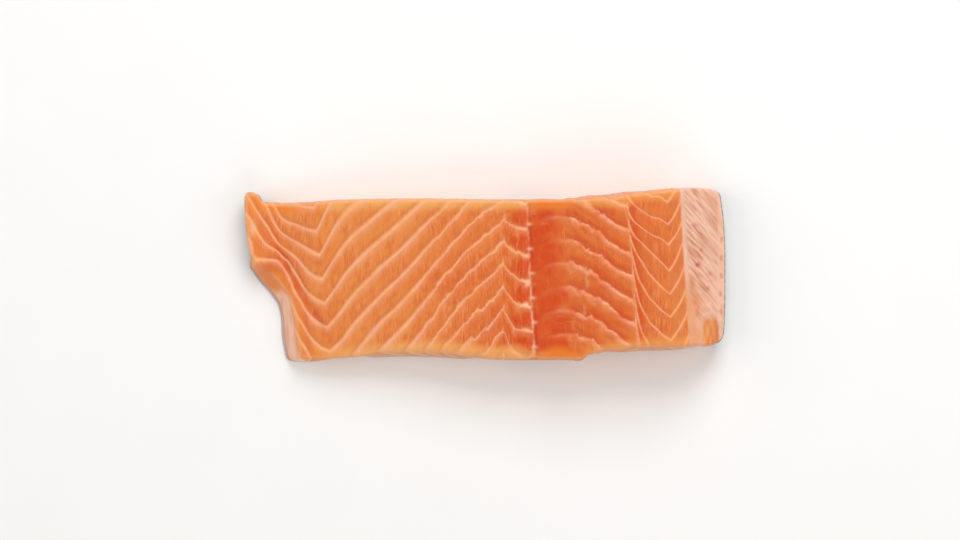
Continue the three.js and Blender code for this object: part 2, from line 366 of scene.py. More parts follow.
class Flakes:
    """How the muscle is built at each point of the portion.

    depth is how far the point lies under the cut face, above how far over the underside.
    """

    def __init__(self, x, y, depth, above):
        self.x, self.y, self.depth, self.above = x, y, depth, above
        place = self.place = np.stack([x, y, depth], -1)
        # The loin's folds lean inwards as they go down.
        s = self.s = across_fish(x, y) + 0.25 * depth * plateau(x, 50, 110, 20)
        self.scraped = plateau(s, SCRAPED, SEAM - 0.5, 3)
        self.flank = plateau(s, -18, MIDLINE - 1, 14)
        self.spine = plateau(s, MIDLINE + 1, SCRAPED - 1.5, 3)
        self.loin = smoothstep(s, SEAM, SEAM + 1)
        self.bevel = smoothstep(s, BEVEL - 0.35, BEVEL + 0.35)
        self.wall = smoothstep(depth, 0.7, 2.2)
        # The lines wander a little, are jagged at the flank and torn in 3 mm steps where scraped.
        wander = 0.3 * noise(place, (9, 9, 9), 1) - 1.1 * self.loin * hump(y - 13, 6)
        jagged = self.flank * (0.8 * noise(place, (2.6, 5, 4), 4) + 0.5 * noise(place, 1.2, 5))
        jagged = jagged * (1 + 0.7 * smoothstep(-y, -8, 14))
        step = s / 3.1 + 1.5 * noise(place, (5, 4, 4), 70)
        ragged = 1.6 * noise(place, (3.2, 4.5, 4), 2) + 0.7 * noise(place, 1.5, 3)
        ragged = ragged - 0.7 * (step - np.floor(step))
        ragged = ragged * self.scraped * lerp(1, 0.4, smoothstep(s, 47, 57))
        # On the flank fold each line ends in a short spike towards +Y.
        off_fold = np.abs(s - FLANK_FOLD - 0.6 * noise(place, (9, 6, 9), 6))
        spike = 0.8 * np.exp(-off_fold / 0.7)
        line, pitch, climb = flake_stack(s, y)
        count = (y + wander + jagged + ragged - spike - line) / pitch + 0.09 * depth
        self.phase = count - np.floor(count)
        nearest = np.where(self.phase < 0.5, self.phase, self.phase - 1)
        self.away = nearest * pitch / np.sqrt(1 + climb**2)  # signed distance to a fat line
        # On the flap the lines crowd where they run steeply.
        self.crowded = smoothstep(np.abs(climb), 0.9, 1.8) * (s < BELLY_FOLD)
        self.spur = hump(off_fold, 0.4) * hump(nearest * pitch - 1.1, 1.3) * self.flank
        # The flap is creased where its corner begins to curl.
        bend = s - FLAP_CREASE + CREASE_LEAN * y + 0.5 * noise(place, (5, 7, 5), 11)
        self.crease = hump(bend, 1.9) * plateau(y, -20, 18, 9)
        # Scraping left streaks that run with the lips.
        slanted = np.stack([0.8 * x - 0.6 * y, 0.6 * x + 0.8 * y, depth], -1)
        self.streak = noise(slanted, (6, 0.9, 4), 58) * self.scraped
        self.find_tendons()

    def find_tendons(self):
        """The white tendon of the midline with its knots of fat, and the seam behind the spine."""
        s, y, place = self.s, self.y, self.place
        count = (y - KNOT_START) / KNOT_PITCH
        past_knot = count - np.round(count)
        sway = 0.5 * past_knot + 0.22 * noise(place, (60, 2.2, 6), 13)
        broken = 0.35 + 0.65 * smoothstep(noise(place, (60, 3, 6), 12), -0.4, 0.2)
        broken = broken * lerp(1, 0.6, smoothstep(y, -12, 12))
        self.midline = hump(s - MIDLINE - sway, 0.38) * broken
        knot_s = s + 0.5 * noise(place, (60, 8, 9), 53)
        self.knot = blob(knot_s, past_knot * KNOT_PITCH, (MIDLINE + 0.7, 0), (1.15, 0.7))
        bent = SEAM - 1.2 * smoothstep(y, 22, 34) + 0.3 * noise(place, (30, 4, 6), 14)
        self.seam = hump(s - bent, 0.33)
        # A split opens along the inner edge of the scraped flesh, with a pale hem beside it.
        wavy = self.x - SPLIT - 1.5 * noise(place, (9, 2.6, 9), 22) - 0.6 * noise(place, 1.3, 23)
        reach = plateau(y, -3.7, 3.3, 2.5) + plateau(y, -16.9, -13.8, 2.5)
        reach = reach * smoothstep(noise(place, (9, 1.6, 9), 66), -0.7, 0.1)
        self.split = hump(wavy, 0.45) * reach
        self.hem = hump(wavy - 0.9, 0.6) * reach
        # Thin pale threads lie over the spine.
        weave = noise(place, (14, 1.7, 8), 50) + 0.25 * noise(place, (3, 1.2, 4), 51)
        tufts = smoothstep(noise(place, (6, 5, 8), 52), 0.1, 0.6)
        self.threads = 0.5 * hump(weave, 0.16) * tufts * self.spine

    def fat_masks(self):
        """Where the fat between the flakes shows, and the painted light and shade beside each line."""
        s, y, place, away = self.s, self.y, self.place, self.away
        near_midline = smoothstep(s, MIDLINE - 6.2, MIDLINE - 2.4) * (s < MIDLINE)
        width = lerp(0.76, 0.52, self.flank) * (1 + 0.25 * noise(place, (6, 5, 6), 54))
        width = lerp(lerp(width, 0.5, self.scraped), 0.4, self.loin)
        width = lerp(width, 0.8, near_midline) * (1 + 0.6 * self.wall)
        width = width * (0.95 - 0.25 * self.crowded)
        show = lerp(0.95, 0.85, self.flank)
        show = lerp(show, 0.6 + 0.5 * noise(place, (3.5, 5, 5), 8), self.scraped)
        faint = smoothstep(s, 22, SCRAPED) * (0.34 + 0.45 * noise(place, (9, 5, 9), 9))
        show = lerp(show, faint, self.spine * (1 - 0.8 * self.wall))
        show = lerp(show, 0.85, self.loin)
        show = show * (1 - self.bevel) * (1 + 0.2 * noise(place, 3, 10))
        show = np.clip(show, 0, 1.2)
        # The halo paints the fat's pale tail below each line together with painted light on the lit side
        # of each flake.
        halo_and_painted_light = hump(away + 1.1, 1.3) * lerp(lerp(1, 0.6, self.flank), 1.1, self.scraped)
        halo_and_painted_light = halo_and_painted_light * (1 - self.loin) * (1 - 0.6 * self.crowded)
        # Painted shade: the loin's flakes are darkened on both sides of a line, the others only past it.
        painted_shade = hump(away - 1.6, 0.75) * (1 - 0.5 * self.crowded)
        before = lerp(0.6, 1.2, smoothstep(s, 72, BEVEL)) * self.loin
        painted_shade = painted_shade + before * hump(away + 1.9, 1.2)
        painted_shade = painted_shade * (0.75 + 0.5 * noise(place, (7, 7, 7), 55))
        trim_line = hump(s - BEVEL + 0.1, 0.4) * (1 - self.wall)
        trim_line = trim_line * lerp(0.3, 1, smoothstep(y, -12, 16))
        # Beside the midline each line swells into a cream dash.
        start = 15.5 + 2 * noise(place, (60, 6, 60), 67)
        taper = lerp(0.35, 0.95, smoothstep(s, start, MIDLINE - 1)) * (1 + 0.5 * noise(place, 1.6, 56))
        dash = hump(away, taper) * plateau(s, start + 1.5, MIDLINE - 0.6, 1.8)
        dash = dash * (0.72 + 0.4 * noise(place, (9, 7, 9), 57))
        dab = blob(self.x, y, FLAP_DAB, (1.3, 3.2))
        cream = np.maximum(0.85 * self.knot, np.maximum(dash, 0.7 * dab)) * (1 - self.wall)
        thread = np.maximum(self.threads, self.hem)
        tendon = self.midline + 0.3 * self.seam + 0.4 * trim_line + 0.7 * self.spur
        return {
            "from_line": np.minimum(np.abs(away) / width, 4),
            "line_show": show,
            "halo_and_painted_light": halo_and_painted_light * np.minimum(show, 1),
            "painted_shade": np.clip(painted_shade * show, 0, 1.2),
            "tendon": np.clip(tendon, 0, 1),
            "thread": np.clip(thread, 0, 1) * (1 - self.wall),
            "cream": np.clip(cream, 0, 1),
        }

    def muscle_masks(self):
        """How red the muscle is, with painted shade, and how far its fibres show."""
        s, x, y, phase, place = self.s, self.x, self.y, self.phase, self.place
        red = redness(s)
        # Redder in the cells beside the midline, which lie low in each flake.
        cell_top = lerp(0.3, 0.8, smoothstep(s, 8.5, 17.5)) + 0.12 * noise(place, 2.5, 7)
        cells = smoothstep(phase, 0.06, 0.22) * (1 - smoothstep(phase, cell_top - 0.12, cell_top + 0.1))
        cells = cells * smoothstep(s - 5 * phase, FLANK_FOLD - 1, FLANK_FOLD + 4) * (s < MIDLINE)
        red = red + 0.2 * plateau(s, FLANK_FOLD + 1, MIDLINE - 1, 2) * plateau(phase, 0.5, 0.9, 0.1)
        # Reddest over the spine, deep beside the seam, and darker past each scraped lip as painted shadow.
        inner = 35 + 5 * noise(place, (60, 9, 20), 15) + 2.5 * noise(place, 3, 16)
        over_spine = plateau(s, MIDLINE + 0.5, inner, 3) * (1 - 0.75 * self.wall)
        spine_red = lerp(1, 0.74, smoothstep(s, 27, 37)) + 0.3 * rough(place, (7, 6, 8), 17)
        red = lerp(lerp(red, 1, cells), spine_red, over_spine)
        painted_lip_shadow = 1 - smoothstep(phase, 0.05, 0.5)
        red = red + (0.38 * painted_lip_shadow - 0.12) * self.scraped
        red = red + (0.3 * hump(s - SEAM - 2.6, 2.4) + 0.08 * smoothstep(y, -12, 8)) * self.loin
        red = red - 0.12 * smoothstep(y, 5, 25) * plateau(s, -60, MIDLINE - 4, 12)
        # The flap is redder where its lines crowd, darker in its crease as painted shade, and pale at its
        # corner.
        red = red + 0.27 * self.crowded + 0.45 * self.crease * (1 - self.wall)
        red = red + 0.15 * blob(x, y, (-90, 9), (5, 5)) - 0.3 * blob(x, y, (-101, 31), (5, 7))
        red = red + 0.18 * self.streak + 0.14 * rough(place, (14, 10, 12), 18) + 0.09 * noise(place, 3, 19)
        soft = np.maximum(over_spine, 0.75 * self.scraped)
        return {
            "muscle_red": np.clip(red * (1 - 0.3 * self.wall), 0, 1.15),
            "fibrous": np.clip(1 - 0.8 * soft + 0.3 * noise(place, (12, 12, 8), 28), 0, 1.3),
            # The split mask darkens the split and the flesh just past each scraped lip, as painted shade.
            "split": np.clip(self.split + 0.5 * painted_lip_shadow * self.scraped, 0, 1),
        }

    def edge_masks(self):
        """What shows on the cut walls: brown muscle, fat under the skin, the belly's lining."""
        s, x, y, place = self.s, self.x, self.y, self.place
        depth, above = self.depth, self.above
        uneven = 0.5 * noise(place, (6, 6, 2), 30)
        # A wedge of brown muscle lies along the midline, just over the skin's own fat.
        wedge = 5.5 * hump(s - MIDLINE, 13) + uneven
        frayed = above - 1.6 + 0.7 * noise(place, (1.6, 3, 1.2), 71)
        brown = (1 - smoothstep(frayed, wedge - 1.6, wedge + 0.6)) * smoothstep(wedge, 0.6, 1.6)
        # The lining starts where the belly's cut turns the corner, past a lobe of bare muscle.
        turn = y + 1.6 * noise(place, (2.5, 4, 2.5), 72)
        under = smoothstep(depth, 0.7, 1.4 + 1.6 * smoothstep(y, -10, -4))
        under = under * (1 - smoothstep(x, -77.5, -76))
        past_turn = smoothstep(turn, -9, -4.5)
        lining = under * (1 - past_turn)
        streaks = smoothstep(rough(place, (1.4, 9, 1.6), 73), -0.2, 0.55)
        lobe = smoothstep(depth, 0.1, 0.9) * past_turn * (1 - smoothstep(y, 3, 6)) * (x < -80)
        lobe = lobe * (0.75 + 0.4 * noise(place, (3, 4, 3), 74))
        # Above the lobe the muscle is dark up to the rim.
        dark_edge = blob(x + 0.9 * (y - 3.4), y, (-92, 3.4), (5.5, 2.6)) * (1 - self.wall)
        return {
            "wall": self.wall,
            "skin_fat": 1 - smoothstep(above + uneven, 1.7, 2.5),
            "brown_muscle": brown,
            "lining": lining,
            "lining_streak": lining * streaks,
            "lobe": np.clip(lobe, 0, 1),
            "dark_edge": dark_edge * smoothstep(6.3 - y, 0, 0.8),
        }

    def fat_cap_masks(self):
        """The bevelled back: fat with the ends of the flakes in it, and a few spots of blood."""
        s, x, y, place = self.s, self.x, self.y, self.place
        down = s - BEVEL
        # Fat and lean slant across it in strands, plainest in the upper part.
        upper = smoothstep(y, -16, 2) * plateau(down, 2.6, 8.2, 1.2)
        strands = lerp(0.6, 1, upper) * smoothstep(down, 1.2, 2.4) * (1 - 0.6 * smoothstep(x, 99, 100.5))
        slanted = np.stack([(1.1 * x + y) / 1.49, (x - 1.1 * y) / 1.49, self.depth], -1)
        fat = 0.64 + 0.22 * noise(slanted, (2.2, 8, 6), 60) + 0.12 * noise(place, (3, 4, 4), 61)
        fat = fat - 0.16 * plateau(down, 2.6, 7.5, 1.5) * plateau(y, -10, 10, 6)
        fat = fat + 0.1 * plateau(down, 8, 14, 2) + 0.24 * smoothstep(x, 99, 100.5)
        fat = fat + 0.25 * hump(down, 1.3) * smoothstep(y, -14, 14)
        blood = 0
        for spot_x, spot_y, wide, long, strength in BLOOD_SPOTS:
            blood = blood + strength * blob(x, y, (spot_x, spot_y), (wide, long))
        # Small dark marks stand in a row along the skin's edge.
        marks = smoothstep(np.cos(2 * np.pi * (y - 0.2) / MARK_PITCH), 0.3, 0.9)
        off_edge = x - SKIN_MARKS - 0.5 * noise(place, (60, 5, 60), 68)
        marks = marks * plateau(y, -20, 18, 2) * hump(off_edge, 0.6)
        blood = blood * (1 + 0.5 * noise(place, 1.2, 63)) + 0.6 * marks
        # One flake was left whole at the end, inside two pale arcs.
        off_x, off_y = (x - WHOLE_FLAKE[0]) / FLAKE_HALF[0], (y - WHOLE_FLAKE[1]) / FLAKE_HALF[1]
        patch = (np.abs(off_x) ** 3 + np.abs(off_y) ** 3) ** (1 / 3) + 0.14 * noise(place, 1.5, 64)
        meat = 1 - smoothstep(patch, 0.8, 1.15)
        arcs = hump(patch - 1.35, 0.14) + hump(patch - 1.85, 0.14)
        orange = smoothstep(-y, -8, 16) * (1 - smoothstep(down, 3, 11))
        orange = orange * (0.8 + 0.35 * rough(place, (3, 4, 4), 77))
        vein = 0.25 + 0.8 * noise(place, (0.9, 5, 3), 69) - 0.5 * off_x
        return {
            "fat_cap": self.bevel,
            "cap_fat": np.clip(lerp(fat + 0.25 * arcs * (x < 97), vein, meat), 0, 1),
            "cap_strands": strands * (1 - meat),
            "cap_orange": orange * self.bevel,
            "blood": np.clip(blood, 0, 1) * self.bevel,
            "meat": meat * self.bevel,
        }

    def relief(self):
        """How far the flesh stands out from its plain shape."""
        s, phase, place, cut_face = self.s, self.phase, self.place, 1 - self.wall
        pillow = 0.35 * (1 - np.abs(2 * phase - 1) ** 3) + 0.12 * (phase - 0.5)
        shingle = 0.9 * phase * smoothstep(1 - phase, 0, 0.13)
        lip = 0.45 * noise(place, 2.2, 20) * smoothstep(phase, 0.5, 0.9) + 0.08 * self.streak
        flakes = lerp(pillow, shingle + lip, self.scraped)
        lumps = 0.5 * rough(place, (9, 7, 8), 21) + 0.08 * self.threads
        flakes = lerp(flakes, 0.3 * pillow + lumps, self.spine)
        flakes = lerp(flakes, 0.14 * rough(place, (4, 3, 4), 24), self.bevel)
        ridge = 0.1 * hump(self.away, 0.6) * (1 - self.spine) * (1 - self.bevel)
        groove = 1.1 * plateau(s, MIDLINE - 0.3, MIDLINE + 0.3, 2.2) + 0.2 * self.seam
        cord = 0.35 * self.midline + 0.45 * self.knot
        fine = 0.08 * rough(place, (3, 5, 3), 26) + 0.05 * noise(place, (0.9, 4, 1.2), 27)
        fine = fine + 0.12 * self.wall * rough(place, (2.4, 2.4, 1.8), 75)
        return (
            flakes * lerp(1, 0.6, self.wall) + ridge + fine
            + (cord - groove - 0.5 * self.split - 0.5 * self.crease) * cut_face
        )


# ---- The skin's scales ----

SCALE_WIDE, SCALE_STEP = 4.2, 1.8  # across the fish, and from one row to the next along it
SCALE_EDGE = 0.2  # how far a scale's free edge stands over the next root
SPOT_CELL, SPOT_SWAY = 9.0, 3.5  # one black spot to a cell, and how far it may be off the middle
# The rows round the skin's cut edge: share of its thickness, and how much of the cut shows.
SKIN_EDGE = {0.2: 0.6, 0.5: 0.9, 0.8: 1, 1: 1}
SKIN_BULGE = 0.25  # how far that edge is rounded out
SKIN_ACROSS, SKIN_UP, SKIN_ALONG = 400, 28, 132  # grid steps underneath, up the back, along
SKIN_COARSE = 4  # the hidden inner side has one vertex for this many outside


def from_spots(across, y):
    """How far each place is outside the nearest round spot, of up to 1.7 mm radius."""
    cell, sway = SPOT_CELL, SPOT_SWAY
    nearest = np.full_like(y, cell)
    for i, j in product((-1, 0, 1), repeat=2):
        column, row = np.round(across / cell) + i, np.round(y / cell) + j
        chance = LATTICE[column.astype(int) % len(LATTICE), row.astype(int) % len(LATTICE)]
        middle = (column * cell + sway * chance[:, 0], row * cell + sway * chance[:, 1])
        away = np.hypot(across - middle[0], y - middle[1])
        nearest = np.minimum(nearest, away - 0.6 - 1.1 * np.maximum(chance[:, 2], -0.5))
    return nearest


class Scales:
    """Overlapping scales at a distance across the skin and a place along the fish."""

    def __init__(self, across, y):
        self.across, self.y = across, y
        self.height = np.full_like(y, -1.0)  # 1 at a scale's free edge, falling towards its root
        self.tone = np.zeros_like(y)
        for row in (0, 1):
            column = np.round(across / SCALE_WIDE + row / 2)
            off = across / SCALE_WIDE + row / 2 - column
            along = (y - 5.5 * off**2) / (2 * SCALE_STEP) + row / 2
            height = 1 - (along - np.floor(along))
            tone = noise(np.stack([column * 1.7, np.floor(along) * 2.3, off * 0 + row], -1), 1, 40)
            self.tone = np.where(height > self.height, tone, self.tone)
            self.height = np.maximum(height, self.height)

    def masks(self):
        """Where the scales' edges, the dark back, its spots and the lateral line show."""
        across, y = self.across, self.y
        place = np.stack([across, y, 0 * y], -1)
        line = MIDLINE + 0.5 * noise(place, (60, 20, 9), 41)
        spots = from_spots(across, y) + 0.5 * noise(place, 1.8, 43)
        return {
            "scale_tone": self.tone,
            "scale_edge": smoothstep(self.height, 0.8, 0.97),
            "dorsal": smoothstep(across + 6 * noise(place, (18, 14, 9), 44), 22, 84),
            "spot": (1 - smoothstep(spots, 0, 0.35)) * smoothstep(across, 26, 40),
            "lateral_line": hump(across - line, 0.7),
        }


# ---- Meshes ----


def rim_places(across, along):
    """The (i, j) grid places round the rim of a grid, counterclockwise from its face."""
    front = [(i, 0) for i in range(across)]
    right = [(across, j) for j in range(along)]
    back = [(i, along) for i in range(across, 0, -1)]
    left = [(0, j) for j in range(along, 0, -1)]
    return np.array(front + right + back + left)


def slab_places(across, along, coarse):
    """Grid places of a slab's fine face, of the rim, and inside the coarse far face."""
    fine = np.mgrid[0 : across + 1, 0 : along + 1].reshape(2, -1)
    far = np.mgrid[coarse:across:coarse, coarse:along:coarse].reshape(2, -1)
    return fine, rim_places(across, along), far


def closed_faces(across, along, rows, coarse):
    """Faces of a closed slab: a fine face, rows of wall round it, and a coarse far face.

    The vertices are the fine grid, then a ring for each row, then the coarse grid's inside.
    """
    fine = np.arange((across + 1) * (along + 1)).reshape(across + 1, along + 1)
    rim = rim_places(across, along)
    rings = [fine[rim[:, 0], rim[:, 1]]]
    for row in range(rows):
        rings.append(fine.size + row * len(rim) + np.arange(len(rim)))
    corners = (fine[:-1, :-1], fine[1:, :-1], fine[1:, 1:], fine[:-1, 1:])
    quads = [np.stack([c.ravel() for c in corners], -1)]
    for upper, lower in zip(rings, rings[1:]):
        quads.append(np.stack([upper, lower, np.roll(lower, -1), np.roll(upper, -1)], -1))

    foot = {tuple(place): vertex for place, vertex in zip(rim.tolist(), rings[-1].tolist())}
    inside = fine.size + rows * len(rim)
    for i in range(coarse, across, coarse):
        for j in range(coarse, along, coarse):
            foot[i, j] = inside
            inside += 1
    far = []
    for i in range(0, across, coarse):
        for j in range(0, along, coarse):
            n = coarse
            outline = [(i, j + k) for k in range(n)] + [(i + k, j + n) for k in range(n)]
            outline += [(i + n, j + n - k) for k in range(n)] + [(i + n - k, j) for k in range(n)]
            far.append([foot[place] for place in outline if place in foot])
    return np.concatenate(quads), far


def vertex_normals(points, quads):
    """The direction outwards at each point, from the faces that meet there."""
    a, b, c, d = (points[quads[:, k]] for k in range(4))
    face = np.cross(c - a, d - b)
    normal = np.zeros_like(points)
    for k in range(4):
        np.add.at(normal, quads[:, k], face)
    return normal / np.maximum(np.linalg.norm(normal, axis=1, keepdims=True), 1e-12)


def piece(name, points, quads, far, masks, material):
    """A smooth mesh object from points in millimetres, with its masks as attributes."""
    mesh = bpy.data.meshes.new(name)
    mesh.from_pydata((points * MM).tolist(), [], quads.tolist() + far)
    mesh.validate()
    for mask, value in masks.items():
        attribute = mesh.attributes.new(mask, "FLOAT", "POINT")
        attribute.data.foreach_set("value", value.astype(np.float32))
    mesh.materials.append(material)
    mesh.polygons.foreach_set("use_smooth", [True] * len(mesh.polygons))
    made = bpy.data.objects.new(name, mesh)
    bpy.context.scene.collection.objects.link(made)
    return made


def flesh():
    """The muscle and its fat, with the relief of its flakes."""
    (i, j), rim, (far_i, far_j) = slab_places(ACROSS, ALONG, COARSE)
    u = np.concatenate([i, np.tile(rim[:, 0], DOWN), far_i]) / ACROSS
    v = np.concatenate([j, np.tile(rim[:, 1], DOWN), far_j]) / ALONG
    down = (np.arange(1, DOWN + 1) / DOWN) ** 1.3  # the rows lie closer together near the rim
    down = np.concatenate([np.zeros(i.size), np.repeat(down, len(rim)), np.ones(far_i.size)])
    w = 1 - down * (1 - share_at(u, v, SKIN_THICK - INTO_SKIN))
    plain, depth, above = body(u, v, w)

    quads, far = closed_faces(ACROSS, ALONG, DOWN, COARSE)
    normal = vertex_normals(plain, quads)
    flakes = Flakes(plain[:, 0], plain[:, 1], depth, above)
    # Behind the skin that wraps the back the flesh is drawn in, and a little just over the skin.
    drawn_in = smoothstep((u - 1) * NOMINAL[0], -1, 0) * smoothstep(depth, 0.3, 0.9)
    masks = flakes.fat_masks() | flakes.muscle_masks() | flakes.edge_masks()
    stand = lerp(flakes.relief() * smoothstep(above, 1, 2.5), -0.75, drawn_in)
    stand = stand - 0.2 * (1 - smoothstep(above, 1, 1.7)) * (down < 1)
    to_cut = np.minimum(np.minimum(v, 1 - v) * NOMINAL[1], u * NOMINAL[0])
    ragged = to_cut + 1.5 * noise(plain, (9, 7, 9), 65)
    masks |= flakes.fat_cap_masks() | {
        # The rim mask paints the yellow glow of light shining through the thin cut edges, paler in places.
        "rim": (1 - smoothstep(ragged, 1.5, 6)) * (1 - 0.7 * flakes.wall),
        "pale_rim_glow": plateau(flakes.s, -60, 12, 16) + 0.6 * smoothstep(flakes.s, 37, 48),
        # The lip mask paints a highlight along each cut edge.
        "lip": (1 - smoothstep(to_cut, 0.2, 1.6)) * (1 - smoothstep(depth, 0.4, 1.6)),
    }
    return plain + normal * stand[:, None], quads, far, masks


def skin():
    """The skin under the flesh and up round the back, its scales cut into the outer side."""
    across = SKIN_ACROSS + SKIN_UP
    (i, j), rim, (far_i, far_j) = slab_places(across, SKIN_ALONG, SKIN_COARSE)
    u, v = np.minimum(i / SKIN_ACROSS, 1), 1 - j / SKIN_ALONG
    foot = share_at(u, v, 0)
    up = np.maximum(i - SKIN_ACROSS, 0) / SKIN_UP
    outer, _, _ = body(u, v, lerp(foot, SKIN_TOP, up))
    grid = outer.reshape(across + 1, SKIN_ALONG + 1, 3)
    run = np.cumsum(np.linalg.norm(np.diff(grid, axis=0), axis=2), axis=0)
    run = np.concatenate([np.zeros((1, SKIN_ALONG + 1)), run]) + grid[0, :, 0]
    scales = Scales(run.ravel(), outer[:, 1])

    quads, far = closed_faces(across, SKIN_ALONG, len(SKIN_EDGE), SKIN_COARSE)
    normal = vertex_normals(outer, quads[: across * SKIN_ALONG])
    flat = np.arange(i.size).reshape(across + 1, SKIN_ALONG + 1)
    at_rim = flat[rim[:, 0], rim[:, 1]]
    inward = np.clip(rim, 1, (across - 1, SKIN_ALONG - 1))
    outwards = outer[at_rim] - outer[flat[inward[:, 0], inward[:, 1]]]
    outwards /= np.linalg.norm(outwards, axis=1, keepdims=True)
    rings = [
        outer[at_rim] - normal[at_rim] * SKIN_THICK * t + outwards * SKIN_BULGE * np.sin(np.pi * t)
        for t in SKIN_EDGE
    ]
    far_at = flat[far_i, far_j]
    inner = outer[far_at] - normal[far_at] * SKIN_THICK
    outer = outer - normal * (SCALE_EDGE * (1 - scales.height))[:, None]
    points = np.concatenate([outer, *rings, inner])
    masks = {
        name: np.concatenate([value, np.tile(value[at_rim], len(SKIN_EDGE)), value[far_at]])
        for name, value in scales.masks().items()
    }
    cut = np.repeat(list(SKIN_EDGE.values()), len(rim))
    masks["cut_edge"] = np.concatenate([np.zeros(i.size), cut, np.ones(far_at.size)])
    return points, quads, far, masks


# ---- Materials ----


def linear(code):
    """An sRGB hex colour as linear RGBA."""
    parts = [int(code[k : k + 2], 16) / 255 for k in (0, 2, 4)]
    return [*(p / 12.92 if p <= 0.04045 else ((p + 0.055) / 1.055) ** 2.4 for p in parts), 1]


def per_metre(millimetres):
    """The texture scale that gives a pattern of this size."""
    return 1000 / millimetres


def node(tree, kind, inputs, output=0, **settings):
    """Adds a node with its settings, and its inputs as links, as values or as hex colours.

    Most sockets go by number. A Map Range takes a value at 0 and turns the range 1 to 2 into the
    range 3 to 4, each of them 0 to 1 unless it is given. A Mix of colours takes its share at 0 and
    its colours at 6 and 7, and gives its result at 2. A Noise Texture takes its place, scale and
    detail at 0, 2 and 3, and a Mapping its place, turn and scale.
    """
    made = tree.nodes.new(kind)
    for name, value in settings.items():
        setattr(made, name, value)
    for socket, value in inputs.items():
        if isinstance(value, bpy.types.NodeSocket):
            tree.links.new(value, made.inputs[socket])
        else:
            made.inputs[socket].default_value = linear(value) if isinstance(value, str) else value
    return made.outputs[output] if made.outputs else made


def empty_material(name):
    material = bpy.data.materials.new(name)
    material.use_nodes = True
    material.node_tree.nodes.clear()
    return material, material.node_tree


def painted(tree, colour, layers):
    """Lays colours over a colour one after another, each by its mask and its greatest share."""
    for amount, most, paint in layers:
        share = node(tree, "ShaderNodeMath", {0: amount, 1: most}, operation="MULTIPLY", use_clamp=True)
        colour = node(tree, "ShaderNodeMix", {0: share, 6: colour, 7: paint}, 2, data_type="RGBA")
    return colour


